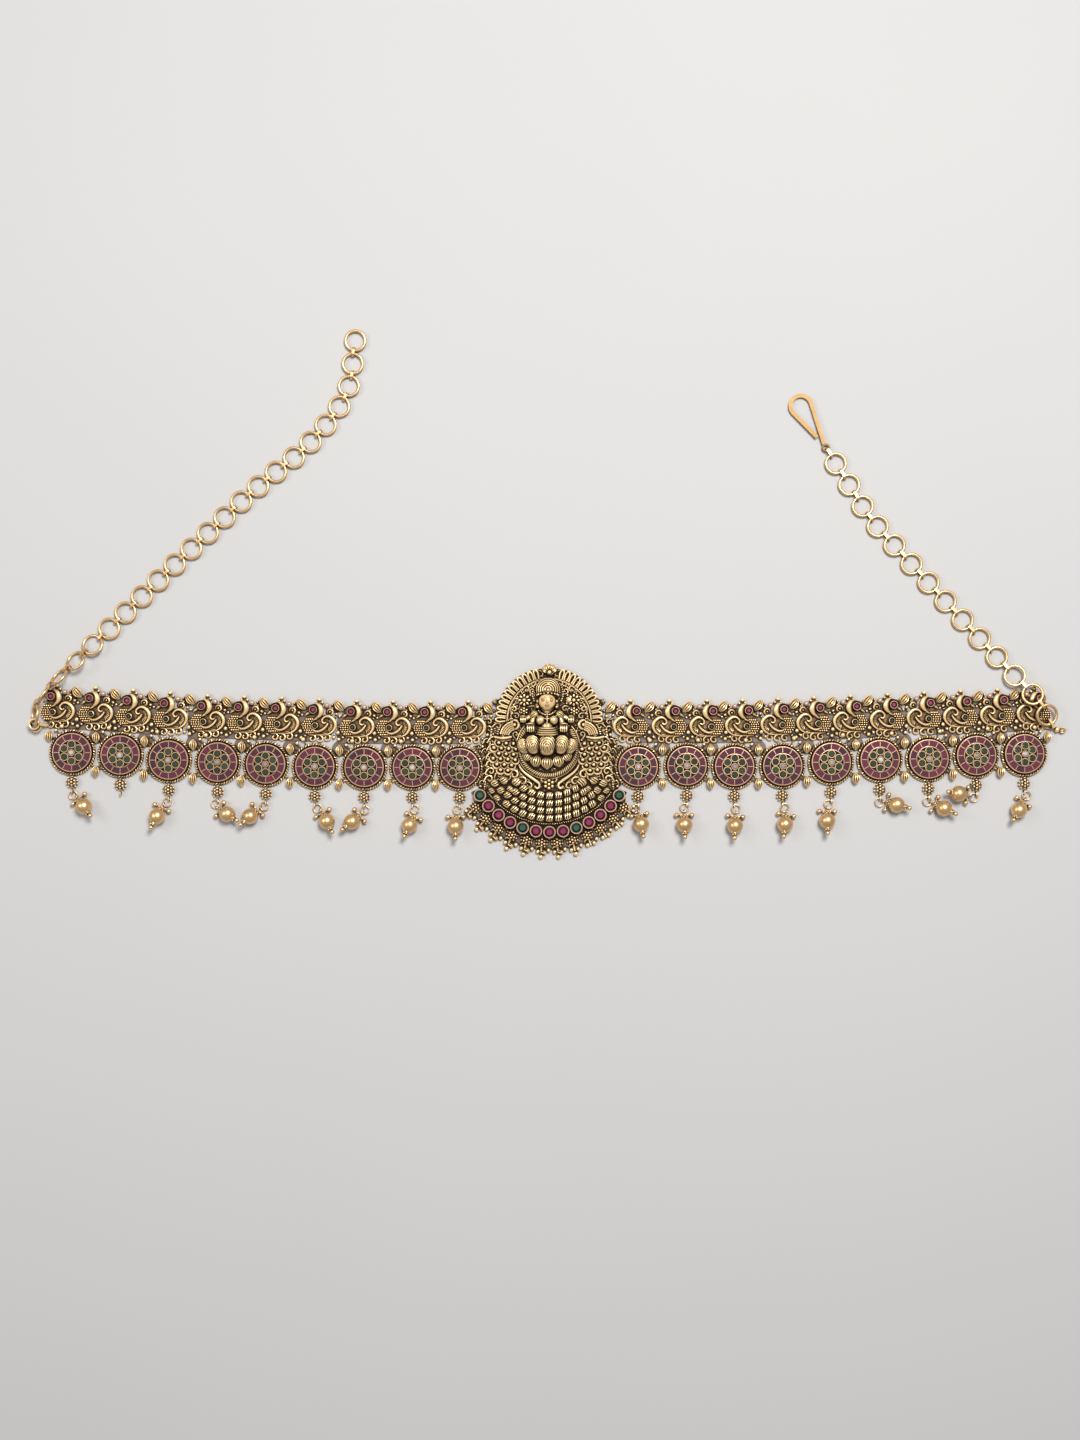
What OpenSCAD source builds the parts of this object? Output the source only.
// Hip chain: a jewelled belt front laid flat, with a goddess plaque in the middle, nine
// medallions and twelve peacocks on each side, ball drops, and a ring chain at each end
// that closes behind the back with a hook. +X runs along the belt, +Y up towards the
// chains, z = 0 is the surface it lies on. The origin is on the flat back of the plaque.

/* [Medallions] */
// Radius of the rope border's centre line
rope_radius = 8.8; // [8.6:0.1:8.9]
// Radius of the rope border's core wire
rope_wire = 0.55; // [0.45:0.05:0.6]
// Outer radius of the raised stone drum
drum_radius = 8.1; // [7.9:0.05:8.15]
// Height of the drum's rim
rim_height = 2.2; // [1.8:0.1:2.6]
// Number of ruby cells round the drum
ruby_cells = 12; // [12]
// Thickness of the metal walls between two cells
cell_wall = 0.5; // [0.4:0.05:0.7]
// Radius of the circle that the six round bezels stand on
flower_radius = 3.45; // [3.4:0.01:3.5]

/* [Peacocks] */
// Thickness of the peacocks' cast back plate
peacock_plate = 0.9; // [0.7:0.1:1.2]
// Radius of the round wire that the scrolls are bent from
scroll_wire = 0.45; // [0.3:0.05:0.5]

/* [Plaque] */
// Thickness of the plaque's cast back plate
plaque_plate = 1.4; // [1.2:0.1:2]
// Radius of the arch behind the goddess
arch_radius = 21; // [20:0.5:22]
// Radius of the bow of round stones under the plaque
bow_radius = 34.6; // [34:0.1:35]
// Number of round stones in the bow
bow_stones = 13; // [13]
// Angle between two neighbouring stones of the bow
bow_step = 9.3; // [9:0.1:9.6]
// Outer radius of a bow stone's bezel
bow_bezel = 2.55; // [2.4:0.05:2.7]

/* [Drops] */
// Radius of a hanging ball
ball_radius = 3.3; // [3:0.1:3.5]
// Distance from the drop's eye to the middle of its ball, seen from above
stem_reach = 5.2; // [5:0.1:5.6]
// Mean radius of the jump ring between a medallion and its drop
jump_radius = 1.7; // [1.6:0.05:1.8]

/* [Chains] */
// Mean radius of a chain ring
ring_radius = 4.05; // [3.9:0.05:4.2]
// Radius of the chain rings' wire
ring_wire = 0.6; // [0.5:0.05:0.65]
// Thickness of the band that the small oval links are bent from
link_band = 0.5; // [0.4:0.05:0.6]
// Width of that band
link_width = 1.1; // [1:0.1:1.2]
// Rings on the left chain, without its end ring
left_rings = 22; // [16:1:22]
// Rings on the right chain, the one with the hook
right_rings = 14; // [10:1:14]

/* [Hidden] */
$fn = 32;

LEFT = -1;
RIGHT = 1;

// Medallions from the plaque outwards, in mm
// [left x, left y, right x, right y]
MEDALLIONS = [
    [ -36.7, -3.2,  36.7, -2.7],
    [ -56.2, -3.0,  56.8, -2.3],
    [ -76.1, -3.0,  76.4, -2.6],
    [ -96.4, -2.6,  96.2, -2.4],
    [-116.6, -1.6, 116.2, -0.9],
    [-136.4, -0.8, 136.3,  0.2],
    [-156.6,  0.0, 156.4,  0.5],
    [-176.5,  2.1, 176.0,  1.9],
    [-196.4,  3.1, 195.8,  2.6]];

// How each drop lies, from the plaque outwards: the turn of its eye about the loop and
// the turn of its ball, in degrees from straight down, positive towards +X, the distance
// from the medallion's loop to the eye, in mm, and the side the jump ring bulges to
LEFT_DROPS = [
    [-30,   0, 3.38,  1],
    [ 20, -25, 3.30, -1],
    [-15, -50, 3.10, -1],
    [ 50,  30, 3.30,  1],
    [-50, -47, 3.10, -1],
    [ -5,  60, 2.90,  1],
    [-42, -25, 3.30, -1],
    [  0,   0, 0.00,  1],
    [ 42,  40, 2.90,  1]];
RIGHT_DROPS = [
    [  5,   10, 2.60,  1],
    [-20,    0, 3.30,  1],
    [  8,   -5, 3.30, -1],
    [ 30,  -10, 3.38, -1],
    [-30,   -2, 3.38,  1],
    [ 50,   75, 2.00,  1],
    [ 30,   63, 2.30,  1],
    [-75, -100, 2.60, -1],
    [  5,  -35, 2.90, -1]];

// Heads of the peacocks from the plaque outwards, in mm
// [left x, left y, right x, right y]
PEACOCKS = [
    [ -35.7, 19.8,  36.1, 20.2],
    [ -51.2, 19.7,  52.1, 20.2],
    [ -66.6, 19.8,  67.6, 20.2],
    [ -81.6, 20.0,  82.2, 20.4],
    [ -97.1, 20.7,  96.8, 20.9],
    [-112.6, 21.3, 111.6, 21.5],
    [-127.9, 21.8, 126.7, 22.1],
    [-143.1, 22.3, 141.9, 22.8],
    [-158.4, 23.4, 157.0, 23.5],
    [-173.7, 24.5, 172.0, 24.1],
    [-189.2, 25.5, 187.2, 24.7],
    [-205.0, 26.3, 202.3, 25.3]];

// The way each chain lies from the belt's end outwards, in mm: its joints follow it
LEFT_WAY = [[-211.5, 14.1], [-210.0, 24.3], [-203.4, 32.0], [-160.4, 74.6],
            [-121.6, 111.4], [-99.6, 129.0], [-88.6, 142.0], [-83.2, 150.5],
            [-80.9, 159.0], [-80.6, 168.0]];
RIGHT_WAY = [[206.8, 14.0], [201.8, 23.6], [194.4, 31.6], [154.2, 75.5],
             [132.7, 99.1], [115.4, 126.6]];
// Turn of the first rings about the chain's own direction, where they are caught up on
// the belt; further rings lie flat
LEFT_ROLLS = [-60, -78, -58, -38, -18];
RIGHT_ROLLS = [];
// Height of the first joints above the surface; further joints lie on it
LEFT_JOINTS = [3.9, 4.6, 4.75, 3.6, 2.8, 1.5];
RIGHT_JOINTS = [3.4, 4.5, 3.4, 1.9];
// Direction from the last joint of the left chain to the middle of its end ring
end_ring_turn = 80;

// Middle of the bow of stones
BOW_MIDDLE = [0.2, 5];
// Middle of the arch
ARCH_MIDDLE = [0.1, 16];

// Small shapes that repeat

module bead(x, y, z, r) {
    translate([x, y, z]) sphere(r = r);
}

// Round wire bent along an arc that lies flat, with angles from +X
module wire_arc(x, y, z, radius, wire, from = 0, to = 360) {
    translate([x, y, z]) rotate([0, 0, from])
        rotate_extrude(angle = to - from) translate([radius, 0]) circle(r = wire);
}

// A low round cushion standing on z
module dome(x, y, z, radius, height) {
    curve = (radius * radius + height * height) / (2 * height);
    translate([x, y, z]) rotate_extrude() intersection() {
        translate([0, height - curve]) circle(r = curve);
        translate([0, -0.4]) square([radius, height + 0.4]);
    }
}

// A round bezel cup with a seat for its stone
module bezel(x, y, z, height, outer, inner) {
    translate([x, y, z]) rotate_extrude()
        polygon([[0, 0], [outer, 0], [outer, height], [inner, height], [inner, 0.35],
                 [0, 0.35]]);
}

// A pointed oval bead with blunt tips, lying in the plane, its long axis turned from +Y
module leaf(x, y, z, length, width, turn) {
    curve = (length * length + width * width) / (4 * width);
    translate([x, y, z]) rotate([-90, 0, turn]) rotate_extrude() intersection() {
        translate([width / 2 - curve, 0]) circle(r = curve, $fn = 64);
        translate([0, -0.47 * length]) square([width, 0.94 * length]);
    }
}

// A flat bar from one point to another
module bar(from, to, width, low, high) {
    reach = to - from;
    translate([from[0], from[1], low]) rotate([0, 0, atan2(reach[1], reach[0])])
        translate([0, -width / 2, 0]) cube([norm(reach), width, high - low]);
}

// A round rod from one point in space to another
module rod(from, to, r) {
    reach = to - from;
    translate(from) rotate([0, acos(reach[2] / norm(reach)), atan2(reach[1], reach[0])])
        cylinder(r = r, h = norm(reach));
}

// A round cut stone: girdle, slanting crown facets and a flat table
module cut_stone(x, y, z, radius, height, sides = 10) {
    translate([x, y, z]) {
        cylinder(r = radius, h = height * 0.45, $fn = sides);
        translate([0, 0, height * 0.45])
            cylinder(r1 = radius, r2 = radius * 0.62, h = height * 0.55, $fn = sides);
    }
}

function medallion_spot(side, n) =
    side == LEFT ? [MEDALLIONS[n - 1][0], MEDALLIONS[n - 1][1]]
                 : [MEDALLIONS[n - 1][2], MEDALLIONS[n - 1][3]];
function peacock_spot(side, n) =
    side == LEFT ? [PEACOCKS[n - 1][0], PEACOCKS[n - 1][1]]
                 : [PEACOCKS[n - 1][2], PEACOCKS[n - 1][3]];
function heading(v) = v / norm(v);

// Medallions

rope_height = rope_wire + 0.15;
drum_floor = 1.2;
cell_outer = drum_radius - 0.5;
flower_rim = 5.2;
flower_height = 2.7;
bezel_outer = 1.76;
bezel_inner = 1.25;
loop_drop = 15.9;
loop_height = 1.2;
loop_radius = 0.95;
loop_wire = 0.25;
hinge_offset = -5.6;
hinge_reach = 0.9;
lug_low = 0.9;
lug_high = 1.4;
// Thin backing plate in the gap between two medallions
gap_plate_rise = 7.4;
gap_plate_radius = 3.4;
gap_plate_thick = 0.28;

module medallion_drum() {
    rotate_extrude()
        polygon([[0, 0], [rope_radius, 0], [rope_radius, rope_height],
                 [drum_radius + 0.1, rope_height],
                 [drum_radius, rim_height - 0.2], [drum_radius - 0.1, rim_height],
                 [cell_outer, rim_height], [cell_outer, drum_floor],
                 [flower_rim, drum_floor], [flower_rim, flower_height],
                 [flower_rim - 0.4, flower_height], [flower_rim - 0.4, drum_floor],
                 [0, drum_floor]]);
    wire_arc(0, 0, rope_height, rope_radius, rope_wire);
}

module cell_walls() {
    for (i = [0:ruby_cells - 1]) rotate([0, 0, i * 360 / ruby_cells + 90])
        translate([flower_rim - 0.2, -cell_wall / 2, 1.6])
            cube([cell_outer - flower_rim + 0.4, cell_wall, rim_height - 1.7]);
}

module flower_bezels() {
    bezel(0, 0, 0.8, 2.5, bezel_outer - 0.02, bezel_inner);
    for (i = [0:5])
        bezel(flower_radius * sin(60 * i), flower_radius * cos(60 * i), 0.8, 2.1,
              bezel_outer, bezel_inner);
}

// Grape of granules under a medallion, with the loop that its drop hangs from
module granule_grape() {
    bar([0, -8.9], [0, -14.4], 2.6, 0.2, 1.2);
    for (grain = [[-0.95, -10.4], [0.95, -10.4], [-1.75, -12.1], [0, -12.1], [1.75, -12.1],
                  [-0.95, -13.8], [0.95, -13.8]])
        bead(grain[0], grain[1], grain[0] == 0 ? 1.6 : 1.2, 0.86);
    translate([0, -loop_drop, loop_height]) rotate([0, 90, 0])
        wire_arc(0, 0, 0, loop_radius, loop_wire);
    bar([0, -14.2], [0, -15.0], 0.8, 0.8, 1.6);
}

// Lug under the lower leaf, drilled for the ring that joins two medallions
module hinge_lug(reach) {
    way = [reach[0] / 2, reach[1] / 2 + hinge_offset] - hinge_reach * heading(reach);
    difference() {
        union() {
            translate([way[0], way[1], lug_low]) cylinder(r = 0.75, h = lug_high - lug_low);
            bar(way, way * 0.78, 1.2, lug_low, lug_high);
        }
        translate([way[0], way[1], 0]) cylinder(r = 0.42, h = 3);
    }
}

// Leaves in the gap towards the next medallion outwards
module gap_leaves(side, n) {
    spot = medallion_spot(side, n);
    middle = n < 9 ? (medallion_spot(side, n + 1) - spot) / 2 : [side * 9.4, 0.2];
    upper = middle + [0, 6.7];
    leaf(upper[0], upper[1], 1.6, 4.3, 2.8, 0);
    bar(upper * 0.7, upper * 0.96, 1.2, 0.3, 1.3);
    if (n < 9) {
        next = medallion_spot(side, n + 1) - spot;
        // thin backing that fills the gap above, clear of the next medallion's rope
        difference() {
            translate([middle[0], middle[1] + gap_plate_rise, 0.1])
                cylinder(r = gap_plate_radius, h = gap_plate_thick);
            translate([next[0], next[1], -1]) cylinder(r = rope_radius + rope_wire + 0.2, h = 3);
        }
        lower = middle + [0, -7.1];
        leaf(lower[0], lower[1], 3.4, 4.2, 2.9, 0);
        bar(lower * 0.72, lower, 1.0, 2.5, 3.2);
        bar(lower * 0.70, lower * 0.78, 1.6, 0.5, 3.2);
    }
}

module medallion(side, n) {
    spot = medallion_spot(side, n);
    color("goldenrod") translate([spot[0], spot[1], 0]) {
        medallion_drum();
        cell_walls();
        flower_bezels();
        granule_grape();
        gap_leaves(side, n);
        if (n < 9) hinge_lug(medallion_spot(side, n + 1) - spot);
        if (n > 1) hinge_lug(medallion_spot(side, n - 1) - spot);
    }
}

// One ring of twelve wedge cut rubies, notched for the cell walls
module ruby_ring() {
    low = drum_floor + 0.08;
    difference() {
        rotate_extrude()
            polygon([[flower_rim + 0.1, low], [cell_outer - 0.1, low],
                     [cell_outer - 0.1, 2.0], [cell_outer - 0.6, 2.4],
                     [flower_rim + 0.1, 2.4]]);
        for (i = [0:ruby_cells - 1]) rotate([0, 0, i * 360 / ruby_cells + 90])
            translate([flower_rim - 1, -cell_wall / 2 - 0.1, 1.5])
                cube([4, cell_wall + 0.2, 3]);
    }
}

module medallion_rubies(side) {
    color("crimson") for (n = [1:9]) {
        spot = medallion_spot(side, n);
        translate([spot[0], spot[1], 0]) ruby_ring();
    }
}

// Rings that join each medallion to the next one outwards
module hinge_rings(side) {
    color("goldenrod") for (n = [1:8]) {
        spot = medallion_spot(side, n);
        reach = medallion_spot(side, n + 1) - spot;
        translate([spot[0] + reach[0] / 2, spot[1] + reach[1] / 2 + hinge_offset, 1.15])
            rotate([0, 0, atan2(reach[1], reach[0])]) rotate([90, 0, 0])
                wire_arc(0, 0, 0, hinge_reach, 0.2);
    }
}

// Drops

drop_eye_radius = 0.9;

function down(turn) = [sin(turn), -cos(turn)];
function lie(side, n) = side == LEFT ? LEFT_DROPS[n - 1] : RIGHT_DROPS[n - 1];
function loop_spot(side, n) = medallion_spot(side, n) + [0, -loop_drop];
function eye_spot(side, n) = loop_spot(side, n) + lie(side, n)[2] * down(lie(side, n)[0]);
function jump_spot(side, n) =
    let (loop = loop_spot(side, n), eye = eye_spot(side, n), half = norm(eye - loop) / 2,
         across = heading([eye[1] - loop[1], loop[0] - eye[0]]))
    (loop + eye) / 2
        + across * sqrt(jump_radius * jump_radius - half * half) * lie(side, n)[3];

// Ball with its caps, tip, side balls and eye, lying with the ball on the surface
module drop(side, n) {
    spot = eye_spot(side, n);
    rise = ball_radius + 0.05 - loop_height;
    reach = norm([stem_reach, rise]);
    color("gold") translate([spot[0], spot[1], loop_height])
        rotate([0, 0, lie(side, n)[1] - 90]) rotate([0, -atan2(rise, stem_reach), 0]) {
            rotate([90, 0, 0]) wire_arc(0, 0, 0, drop_eye_radius, loop_wire);
            rotate([0, 90, 0]) {
                translate([0, 0, drop_eye_radius]) cylinder(r = 0.4, h = 2);
                translate([0, 0, reach]) sphere(r = ball_radius, $fn = 48);
                translate([0, 0, reach - ball_radius - 0.25]) cylinder(r = 1.2, h = 0.8);
                translate([0, 0, reach + ball_radius - 0.5]) cylinder(r = 1.1, h = 0.8);
                translate([0, 0, reach + ball_radius]) cylinder(r = 0.45, h = 1.5);
                translate([0, 0, reach + 5.3]) sphere(r = 0.95);
            }
            translate([1.5, 0, 0]) {
                rotate([90, 0, 0]) translate([0, 0, -3]) cylinder(r = 0.25, h = 6);
                bead(0, 3.2, 0, 1.0);
                bead(0, -3.2, 0, 1.0);
            }
        }
}

module jump_rings(side) {
    color("goldenrod") for (n = [1:9]) if (lie(side, n)[2] > 0) {
        spot = jump_spot(side, n);
        wire_arc(spot[0], spot[1], loop_height, jump_radius, loop_wire);
    }
}

// Peacocks

// Cast outline of one bird's back plate, its head at the origin, facing -X
module peacock_outline() {
    circle(r = 2.1);
    translate([0.9, -0.5]) circle(r = 3.3);
    translate([-0.1, -6.0]) circle(r = 4.1);
    translate([5.3, -5.9]) circle(r = 3.9);
    translate([2.6, -10.6]) square([8.4, 2.2], center = true);
    translate([6.6, -0.7]) circle(r = 1.6);
    translate([4, 2.2]) square([4.6, 1.6], center = true);
    translate([8.8, 0.6]) square([5, 1.4], center = true);
    translate([1, 3.2]) rotate(-40) square([1.6, 2.6], center = true);
}

// Backing that joins two neighbouring birds: its middle below their heads, and its width
backing_drop = -4.6;
backing_width = 11.6;
backing_low = 0.1;
backing_high = 0.65;

module peacock_scrolls(wire) {
    wire_arc(5.2, -4.3, peacock_plate, 1.3, wire, 80, 340);
    wire_arc(6.2, -6.0, peacock_plate, 3.4, wire, -72, 104);
    wire_arc(2.1, -5.0, peacock_plate, 3.7, wire, 212, 342);
    wire_arc(6.9, -0.95, peacock_plate, 1.1, wire, -30, 250);
    for (curl = [[-0.3, -11.6], [2.7, -11.9], [5.7, -11.4]])
        wire_arc(curl[0], curl[1], peacock_plate, 1.0, wire, -70, 215);
}

module peacock() {
    linear_extrude(peacock_plate) peacock_outline();
    bezel(0, 0, 0.6, 2.1, 1.6, 1.2);
    bezel(0.7, -6.5, 0.6, 1.8, 1.35, 0.98);
    // neck crescent behind the head
    translate([0, 0, 0.6]) linear_extrude(1.7) difference() {
        translate([1.2, -0.3]) circle(r = 3.1);
        translate([-0.5, 0.4]) circle(r = 2.9);
    }
    peacock_scrolls(scroll_wire);
    dome(-2.3, -6.4, 0.8, 1.9, 1.3);
    dome(5.9, -6.9, 0.8, 1.9, 0.9);
    leaf(-2.5, -1.5, 1.0, 3.0, 1.0, -55);
    leaf(10.8, 1.65, 1.5, 4.7, 2.9, -40);
    bead(2.5, 4.5, 1.1, 0.78);
    bead(3.3, 2.7, 1.1, 0.62);
    bead(5.6, 1.8, 1.3, 1.05);
    rod([0.2, -4.2, 1.3], [2.3, -2.9, 1.3], 0.3);
}

// Loop at the belt's end that a chain's first ring goes through
module end_loop(side) {
    way = side == LEFT ? left_joints() : right_joints();
    spot = near_end(way[0], way[1]);
    root = [spot[0] - side * 5.0, spot[1] - 0.4];
    if (side == LEFT) {
        wire_arc(spot[0], spot[1], spot[2], 1.9, 0.45);
        bar(root, [spot[0] + 1.7, spot[1]], 1.6, 0.2, spot[2]);
    } else {
        translate([spot[0], spot[1], 2.75]) point_along(way[1] - way[0], 90)
            wire_arc(0, 0, 0, 1.9, 0.45);
        bar(root, [spot[0] + 0.6, spot[1]], 1.6, 0.2, 0.9);
    }
    bar(root + [side * 0.6, -0.6], root + [-side * 2.5, 3.0], 1.8, 0.1, 0.8);
}

module peacocks(side, strip) {
    first = 4 * strip - 3;
    color("goldenrod") {
        for (n = [first:first + 3]) {
            spot = peacock_spot(side, n);
            translate([spot[0], spot[1], 0]) mirror([side == RIGHT ? 1 : 0, 0, 0])
                peacock();
            if (n < first + 3) {
                next = peacock_spot(side, n + 1);
                bar(spot + [0, backing_drop], next + [0, backing_drop], backing_width,
                    backing_low, backing_high);
            }
        }
        if (strip == 3) end_loop(side);
        if (strip == 3 && side == RIGHT) {
            bar([203.0, 13.6], [209.0, 12.6], 1.2, 0.3, 1.3);
            bead(209.2, 12.6, 1.6, 1.3);
            leaf(211.2, 12.3, 1.5, 3.2, 1.3, 90);
        }
    }
}

module peacock_stones(colour, dx, dy, low, radius) {
    color(colour) for (side = [LEFT, RIGHT]) for (n = [1:12]) {
        spot = peacock_spot(side, n);
        cut_stone(spot[0] - side * dx, spot[1] + dy, low, radius, 1.6, 8);
    }
}

// Plaque

module plaque_outline() {
    translate(ARCH_MIDDLE) circle(r = arch_radius);
    polygon([[-21.6, 17], [-23.9, 13], [-24.9, 8], [-25.4, 2], [-26, -6], [-27, -12.5],
             [27, -12.5], [26, -6], [25.4, 2], [24.9, 8], [23.9, 13], [21.6, 17]]);
    intersection() {
        translate(BOW_MIDDLE) circle(r = bow_radius + bow_bezel - 0.3, $fn = 96);
        polygon([[0, 0], [-45, -18.5], [-45, -50], [45, -50], [45, -18.5]]);
    }
    for (i = [0:bow_stones - 2]) translate(bow_spot(bow_angle(i + 0.5), 39.0)) circle(r = 1.9);
    for (side = [LEFT, RIGHT]) translate([side * 20.9, 23.5]) circle(r = 1.5);
    translate([0, 36.5]) circle(r = 2.8);
    for (side = [LEFT, RIGHT]) translate([side * 3.6, 35.8]) circle(r = 1.8);
}

function bow_angle(i) = (i - (bow_stones - 1) / 2) * bow_step;
function bow_spot(angle, radius) =
    BOW_MIDDLE + [radius * sin(angle), -radius * cos(angle)];
function is_emerald(i) = i % 4 == 0;

module bow() {
    for (i = [0:bow_stones - 1]) {
        spot = bow_spot(bow_angle(i), bow_radius);
        bezel(spot[0], spot[1], 0.9, 2.4, bow_bezel, bow_bezel - 0.6);
    }
    // one grape of granules below each gap between two stones
    for (i = [0:bow_stones - 2]) for (grain = [[0, 37.3], [-1.65, 38.5], [1.65, 38.5],
                                               [0, 39.0], [-0.95, 40.3], [0.95, 40.3]]) {
        spot = bow_spot(bow_angle(i + 0.5) + grain[0] * 1.47, grain[1]);
        bead(spot[0], spot[1], grain[1] == 39.0 ? 1.7 : 1.2, 0.76);
    }
}

// Arch of open loops with a beaded line inside it
module arch() {
    for (side = [LEFT, RIGHT]) for (i = [0:8]) {
        angle = 19.5 + 8.6 * i;
        x = ARCH_MIDDLE[0] + side * 20.2 * sin(angle);
        y = ARCH_MIDDLE[1] + 20.2 * cos(angle);
        wire_arc(x, y, plaque_plate, 1.0, 0.47, 90 - side * angle - 100, 90 - side * angle + 100);
    }
    wire_arc(ARCH_MIDDLE[0], ARCH_MIDDLE[1], plaque_plate, 17, 0.45, -3, 183);
    wire_arc(ARCH_MIDDLE[0], ARCH_MIDDLE[1], plaque_plate, 14.9, 0.35, 8, 172);
    dome(0.4, 36.6, 1.0, 2.6, 2.0);
    for (side = [LEFT, RIGHT]) {
        wire_arc(0.2 + side * 3.5, 35.9, plaque_plate, 1.2, 0.45, 0, 300);
        bead(side * 22.1, 24.1, 1.3, 1.2);
    }
}

// The seated goddess: a plain figure, built from rounded cast forms
goddess_x = -0.8;

module goddess_head() {
    bead(goddess_x, 24.4, 3.3, 3.25);
    bead(goddess_x, 22.3, 3.5, 2.3);
    dome(-0.4, 28.9, 1.2, 4.8, 4.0);
    dome(-0.2, 33.2, 1.2, 1.9, 1.6);
    for (side = [LEFT, RIGHT]) bead(goddess_x + side * 3.7, 22.6, 2.4, 1.1);
}

module goddess_torso() {
    rod([goddess_x, 17, 2.8], [goddess_x, 22, 3.0], 1.7);
    for (side = [LEFT, RIGHT]) {
        bead(goddess_x + side * 2.6, 16.5, 3.4, 2.05);
        bead(goddess_x + side * 5.0, 18.6, 2.5, 1.9);
    }
    bead(goddess_x, 13.9, 2.9, 2.5);
    dome(goddess_x, 10.0, 1.2, 4.3, 3.3);
}

// Four arms, the upper two with a lotus
module goddess_arms() {
    for (side = [LEFT, RIGHT]) {
        rod([goddess_x + side * 5.2, 18.4, 2.3], [goddess_x + side * 9.6, 16.6, 2.4], 1.15);
        bead(goddess_x + side * 9.8, 16.8, 2.4, 1.5);
        wire_arc(goddess_x + side * 9.8, 20.0, 1.8, 1.4, 0.5);
        dome(goddess_x + side * 9.4, 24.7, 1.2, 2.2, 1.6);
        rod([goddess_x + side * 5.4, 17.6, 2.8], [goddess_x + side * 6.7, 13.6, 3.2], 1.2);
        bead(goddess_x + side * 6.8, 13.2, 3.2, 1.7);
    }
}

// Crossed legs under the drape, on a lotus
module goddess_seat() {
    for (side = [LEFT, RIGHT]) {
        leaf(goddess_x + side * 6.4, 6.3, 2.7, 10.6, 5.0, 90 - side * 8);
        bead(goddess_x + side * 9.9, 5.2, 2.4, 2.1);
    }
    dome(goddess_x, 5.2, 1.4, 3.9, 3.1);
    for (petal = [[0, -1.7, 2.2], [4.3, -1.4, 1.9], [8.1, 0.5, 1.9]]) {
        dome(goddess_x + petal[0], petal[1], 1.2, petal[2], 1.7);
        if (petal[0] > 0) dome(goddess_x - petal[0], petal[1], 1.2, petal[2], 1.7);
    }
    wire_arc(goddess_x + 0.4, 5.3, 1.6, 11.7, 0.6, 143, 397);
}

module goddess() {
    goddess_head();
    goddess_torso();
    goddess_arms();
    goddess_seat();
}

// Birds at the goddess's sides and the scrolls below them
module flanking_birds() {
    for (side = [LEFT, RIGHT]) {
        wire_arc(side * 14.2, 14.6, plaque_plate, 1.5, 0.6, 0, 320);
        bead(side * 14.2, 14.6, 1.7, 0.7);
        dome(side * 16.5, 12.5, 1.2, 1.9, 1.6);
        dome(side * 18.9, 9.7, 1.2, 1.55, 1.7);
        for (scale = [[18.4, 6.8], [15.9, 5.2], [20.9, 5.3], [18.0, 3.6], [15.7, 1.4],
                      [20.0, 0.8], [17.6, -1.2], [20.2, -3.4]])
            dome(side * scale[0], scale[1], 1.2, 1.3, 1.1);
        for (curl = [[23.0, 8.4], [23.3, 5.2], [23.3, 2.0], [23.4, -1.2], [24.0, -4.4],
                     [24.6, -7.6]])
            wire_arc(side * curl[0], curl[1], plaque_plate, 1.05, 0.45, 90 - side * 160,
                     90 + side * 60 + (side == LEFT ? 360 : 0));
        wire_arc(side * 4.7, -10.0, plaque_plate, 1.6, 0.6, 0, 330);
        wire_arc(side * 4.6, -3.9, plaque_plate, 7.8, 0.7, side == LEFT ? 180 : 270,
                 side == LEFT ? 270 : 360);
        dome(side * 13.4, -8.8, 1.2, 2.6, 1.4);
        dome(side * 18.6, -8.2, 1.2, 2.4, 1.4);
    }
    bead(0, -9.9, 1.9, 0.85);
    for (i = [0:5]) bead(1.55 * sin(60 * i), -9.9 + 1.55 * cos(60 * i), 1.7, 0.72);
}

// Rows of fish scale petals over the bow
module bib() {
    for (row = [0:3]) {
        radius = 19.8 + 3.05 * row;
        step = asin(3.75 / radius);
        for (i = [-5:5]) if (abs(i * step) < 48 - 2 * row) {
            spot = bow_spot(i * step, radius);
            dome(spot[0], spot[1], 1.1, 1.8, 1.15);
        }
    }
    wire_arc(BOW_MIDDLE[0], BOW_MIDDLE[1], plaque_plate, 31.2, 0.4, 218, 322);
}

module centre_plaque() {
    color("goldenrod") {
        linear_extrude(plaque_plate) plaque_outline();
        bow();
        arch();
        goddess();
        flanking_birds();
        bib();
    }
}

module bow_cut_stones(emerald) {
    color(emerald ? "darkgreen" : "crimson") for (i = [0:bow_stones - 1])
        if (is_emerald(i) == emerald) {
            spot = bow_spot(bow_angle(i), bow_radius);
            cut_stone(spot[0], spot[1], plaque_plate + 0.08, bow_bezel - 0.68, 2.3, 12);
        }
}

// Chains

link_hole = ring_wire + 0.22;
lying_height = link_hole + link_band + 0.03;

// Point at a distance along a way of straight stretches
function along(way, reach, i = 0) =
    let (leg = norm(way[i + 1] - way[i]))
    reach <= leg || i == len(way) - 2
        ? way[i] + (way[i + 1] - way[i]) * (reach / leg)
        : along(way, reach - leg, i + 1);
function way_length(way, i = 0) =
    i == len(way) - 1 ? 0 : norm(way[i + 1] - way[i]) + way_length(way, i + 1);

function at(list, i, rest) = i < len(list) ? list[i] : rest;
function chain_joints(way, heights, count) =
    [for (i = [0:count])
        let (spot = along(way, way_length(way) * i / count))
        [spot[0], spot[1], at(heights, i, lying_height)]];
// The wire of a ring that lies between two joints, where it comes nearest to either
function near_end(from, to) = (from + to) / 2 - ring_radius * heading(to - from);
function far_end(from, to) = (from + to) / 2 + ring_radius * heading(to - from);

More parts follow.
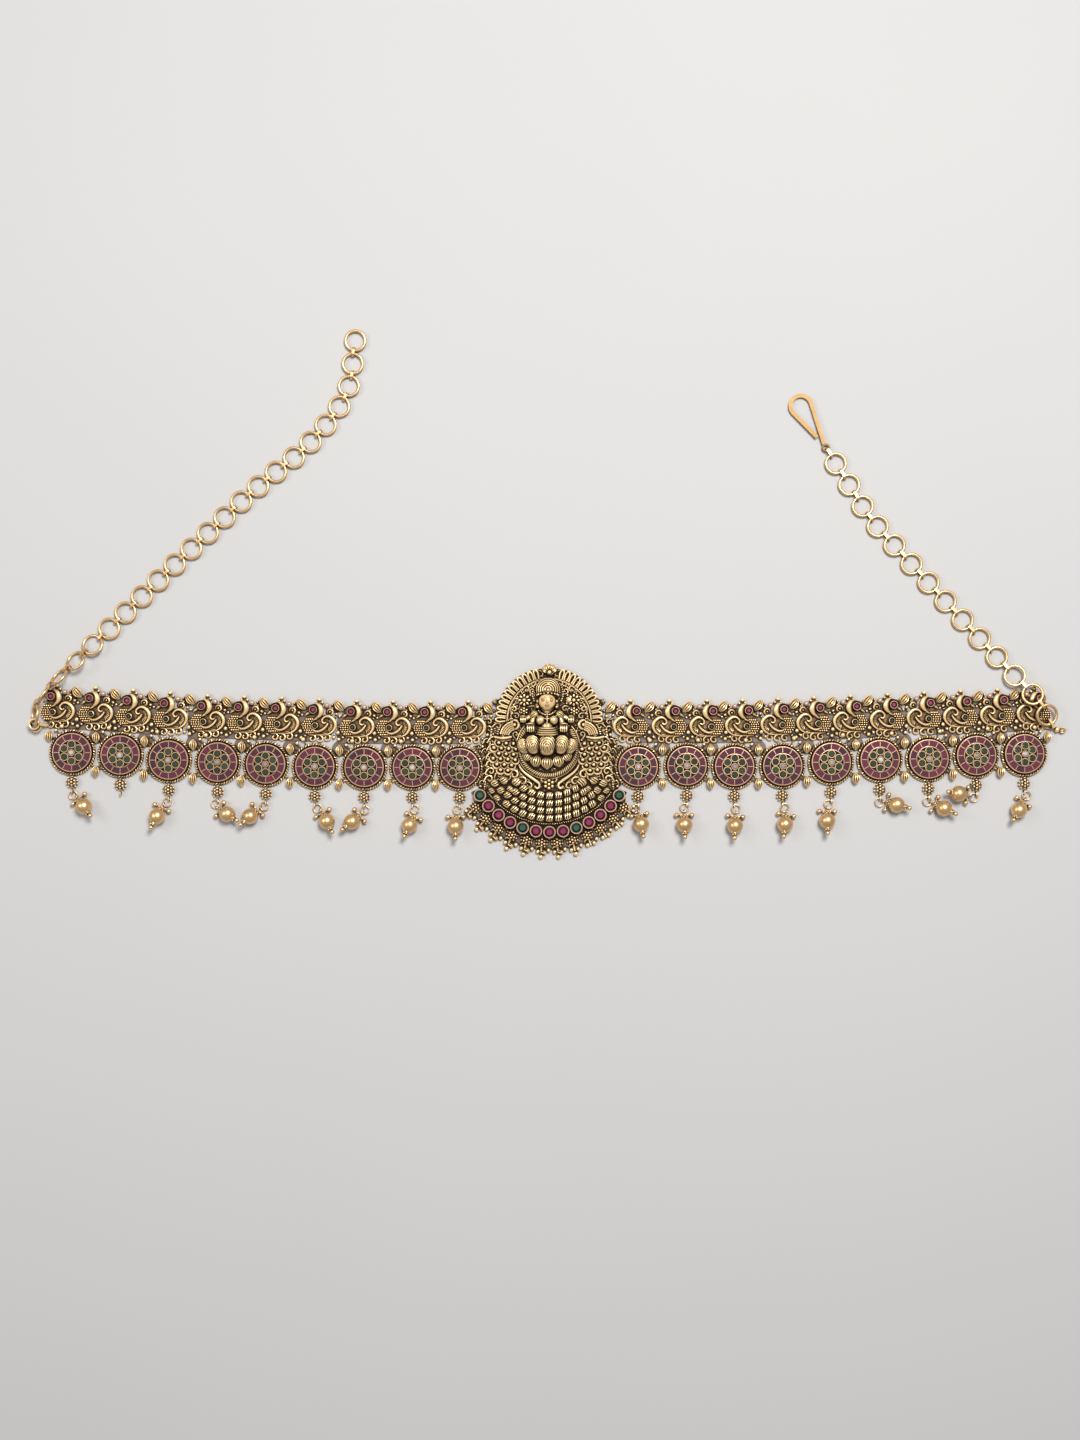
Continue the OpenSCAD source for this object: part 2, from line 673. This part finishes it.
// Turns +X to a direction in space, then rolls about it
module point_along(reach, roll) {
    rotate([0, 0, atan2(reach[1], reach[0])])
        rotate([0, -atan2(reach[2], norm([reach[0], reach[1]])), 0])
            rotate([roll, 0, 0]) children();
}

// A round ring between two joints of the chain
module chain_ring(from, to, roll) {
    translate((from + to) / 2) point_along(to - from, roll)
        wire_arc(0, 0, 0, ring_radius, ring_wire);
}

// A flat band bent to an oval round the wires of two neighbouring rings
module oval_link(from, to, roll) {
    half = norm(to - from) / 2;
    translate((from + to) / 2) point_along(to - from, roll + 90)
        linear_extrude(link_width, center = true) difference() {
            stadium(half, link_hole + link_band);
            stadium(half, link_hole);
        }
}

module stadium(half, radius) {
    for (end = [-half, half]) translate([end, 0]) circle(r = radius);
    square([2 * half, 2 * radius], center = true);
}

// Rings and links from the belt's end loop to the last joint, with the link there
module chain(joints, rolls, last_wire) {
    count = len(joints) - 1;
    color("gold") for (i = [0:count - 1]) {
        chain_ring(joints[i], joints[i + 1], at(rolls, i, 0));
        oval_link(far_end(joints[i], joints[i + 1]),
                  i == count - 1 ? last_wire : near_end(joints[i + 1], joints[i + 2]),
                  (at(rolls, i, 0) + at(rolls, i + 1, 0)) / 2);
    }
}

function left_joints() = chain_joints(LEFT_WAY, LEFT_JOINTS, left_rings);
function right_joints() = chain_joints(RIGHT_WAY, RIGHT_JOINTS, right_rings);
function end_ring_heading() = [cos(end_ring_turn), sin(end_ring_turn), 0];
function end_ring_middle() =
    left_joints()[left_rings] + (ring_radius + 0.8) * end_ring_heading();

module left_chain() {
    chain(left_joints(), LEFT_ROLLS, end_ring_middle() - ring_radius * end_ring_heading());
}

module end_ring() {
    color("gold") translate(end_ring_middle())
        wire_arc(0, 0, 0, ring_radius, ring_wire);
}

hook_bend = 4.3;
hook_length = 20.1;
hook_meet = 18.5;
hook_width = 1.6;
hook_thick = 1.3;
hook_turn = 121;
hook_eye = 1.3;

function hook_heading() =
    heading(right_joints()[right_rings] - right_joints()[right_rings - 1]);
function hook_eye_spot() = right_joints()[right_rings] + (1.1 + hook_eye) * hook_heading();

module right_chain() {
    chain(right_joints(), RIGHT_ROLLS, hook_eye_spot() - hook_eye * hook_heading());
}

// Outline of the hook's flattened wire, its eye at the origin, its bend along +X: the
// lower leg runs into the eye, the upper one ends free just short of it
module hook_outline() {
    touch = acos(hook_bend / hook_meet);
    leg = hook_meet * sin(touch);
    free = leg - (hook_width / 2 + 0.15) / cos(touch);
    translate([hook_length, 0]) {
        difference() {
            circle(r = hook_bend + hook_width / 2);
            circle(r = hook_bend - hook_width / 2);
            polygon([[0, 0], 20 * [-cos(touch), sin(touch)], [-30, 0],
                     20 * [-cos(touch), -sin(touch)]]);
        }
        for (side = [-1, 1]) rotate(side * (180 - touch)) translate([hook_bend, 0])
            mirror([0, side < 0 ? 1 : 0]) translate([0.03 - hook_width / 2, -0.1])
                square([hook_width - 0.06, 0.1 + (side < 0 ? leg : free)]);
    }
}

// Hook of flattened wire bent into a drop shape, lying on its side
module clasp_hook() {
    eye = hook_eye_spot();
    room = lying_height - hook_thick / 2 - 0.06;
    color("gold") translate(eye) rotate([0, 0, hook_turn])
        rotate([0, asin(room / (hook_length + hook_bend + hook_width / 2)), 0]) {
            wire_arc(0, 0, 0, hook_eye, 0.45);
            translate([0, 0, -hook_thick / 2]) linear_extrude(hook_thick) hook_outline();
        }
}

centre_plaque();
bow_cut_stones(false);  // plaque_rubies
bow_cut_stones(true);  // plaque_emeralds
for (n = [1:9]) {
    medallion(LEFT, n);
    medallion(RIGHT, n);
    if (n != 8) drop(LEFT, n);
    drop(RIGHT, n);
}
medallion_rubies(LEFT);  // left_medallion_rubies
medallion_rubies(RIGHT);  // right_medallion_rubies
jump_rings(LEFT);  // left_jump_rings
jump_rings(RIGHT);  // right_jump_rings
hinge_rings(LEFT);  // left_hinge_rings
hinge_rings(RIGHT);  // right_hinge_rings
for (n = [1:3]) {
    peacocks(LEFT, n);
    peacocks(RIGHT, n);
}
peacock_stones("crimson", 0, 0, 0.98, 1.12);  // peacock_rubies
peacock_stones("darkgreen", 0.7, -6.5, 0.98, 0.9);  // peacock_emeralds
left_chain();
end_ring();
right_chain();
clasp_hook();
